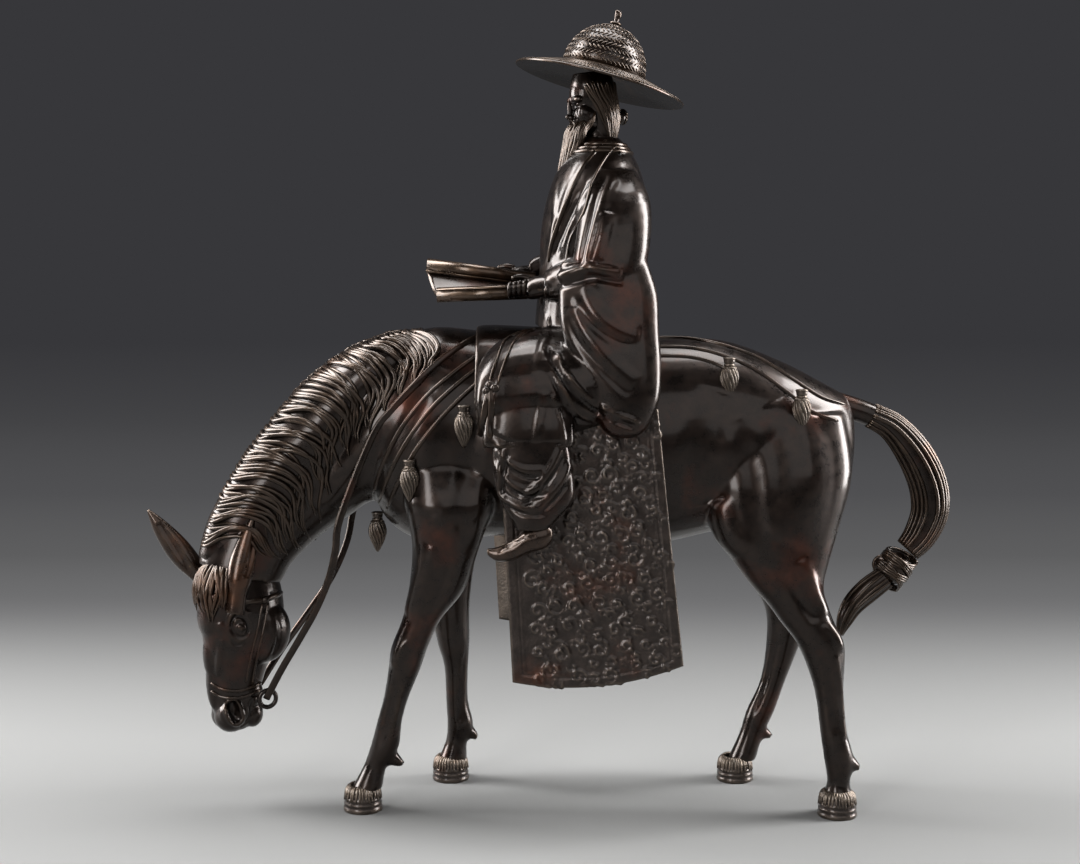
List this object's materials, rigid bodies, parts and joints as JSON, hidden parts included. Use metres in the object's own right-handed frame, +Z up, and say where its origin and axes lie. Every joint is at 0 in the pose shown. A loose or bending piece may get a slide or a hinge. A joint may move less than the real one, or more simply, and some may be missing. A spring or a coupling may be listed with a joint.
{
  "type": "bronze rider and mule table ornament",
  "caption": "Patinated bronze table group: a robed rider in a wide woven hat reads a scroll on a saddled mule that lowers its head; the rider lifts off.",
  "frame": {"origin": "bottom centre of the bounding box, on the ground between the hooves", "axes": "+Z up; the mule faces -X and its near (left) side faces -Y, the side the picture shows"},
  "size_m": [0.4297, 0.1326, 0.4203],
  "materials": {
    "dark_bronze": "dark brown patina, waxed to a gloss",
    "worn_bronze": "brown patina rubbed golden on the high parts",
    "relief_bronze": "matte brown-grey patina over low relief"
  },
  "bodies": {
    "mule": {"bit_rings": "worn_bronze", "breast_strap": "dark_bronze", "breast_tassels": "worn_bronze", "cheek_straps": "dark_bronze", "chest_tassel": "worn_bronze", "crupper_straps": "dark_bronze", "crupper_tassels": "worn_bronze", "far_ear": "worn_bronze", "far_flap": "relief_bronze", "far_fore_hoof": "worn_bronze", "far_foreleg": "dark_bronze", "far_hind_hoof": "worn_bronze", "far_hindleg": "dark_bronze", "forelock_hair": "dark_bronze", "headstall": "dark_bronze", "mane": "dark_bronze", "mule_head": "dark_bronze", "mule_neck": "dark_bronze", "mule_trunk": "dark_bronze", "near_ear": "worn_bronze", "near_flap": "relief_bronze", "near_fore_hoof": "worn_bronze", "near_foreleg": "dark_bronze", "near_hind_hoof": "worn_bronze", "near_hindleg": "dark_bronze", "noseband": "dark_bronze", "rein_strap": "dark_bronze", "saddle_seat": "dark_bronze", "seat_peg": "dark_bronze", "tail": "worn_bronze", "tail_end": "worn_bronze", "tail_knot": "worn_bronze"},
    "rider": {"robe_body": "dark_bronze", "near_sleeve": "dark_bronze", "far_sleeve": "dark_bronze", "near_lap": "dark_bronze", "far_lap": "dark_bronze", "near_trouser": "dark_bronze", "far_trouser": "dark_bronze", "near_shoe": "dark_bronze", "far_shoe": "dark_bronze", "near_hand": "dark_bronze", "far_hand": "dark_bronze", "scroll": "dark_bronze", "rider_head": "dark_bronze", "beard": "worn_bronze", "hair": "dark_bronze", "collar": "dark_bronze", "lapels": "dark_bronze", "sash_knot": "dark_bronze", "hat_brim": "dark_bronze", "hat_crown": "worn_bronze", "hat_finial": "worn_bronze"}
  },
  "joints": [
    {"name": "rider_lift", "type": "slide", "parent": "mule", "child": "rider", "axis": [0, 0, 1], "range_m": [0, 0.15]}
  ]
}
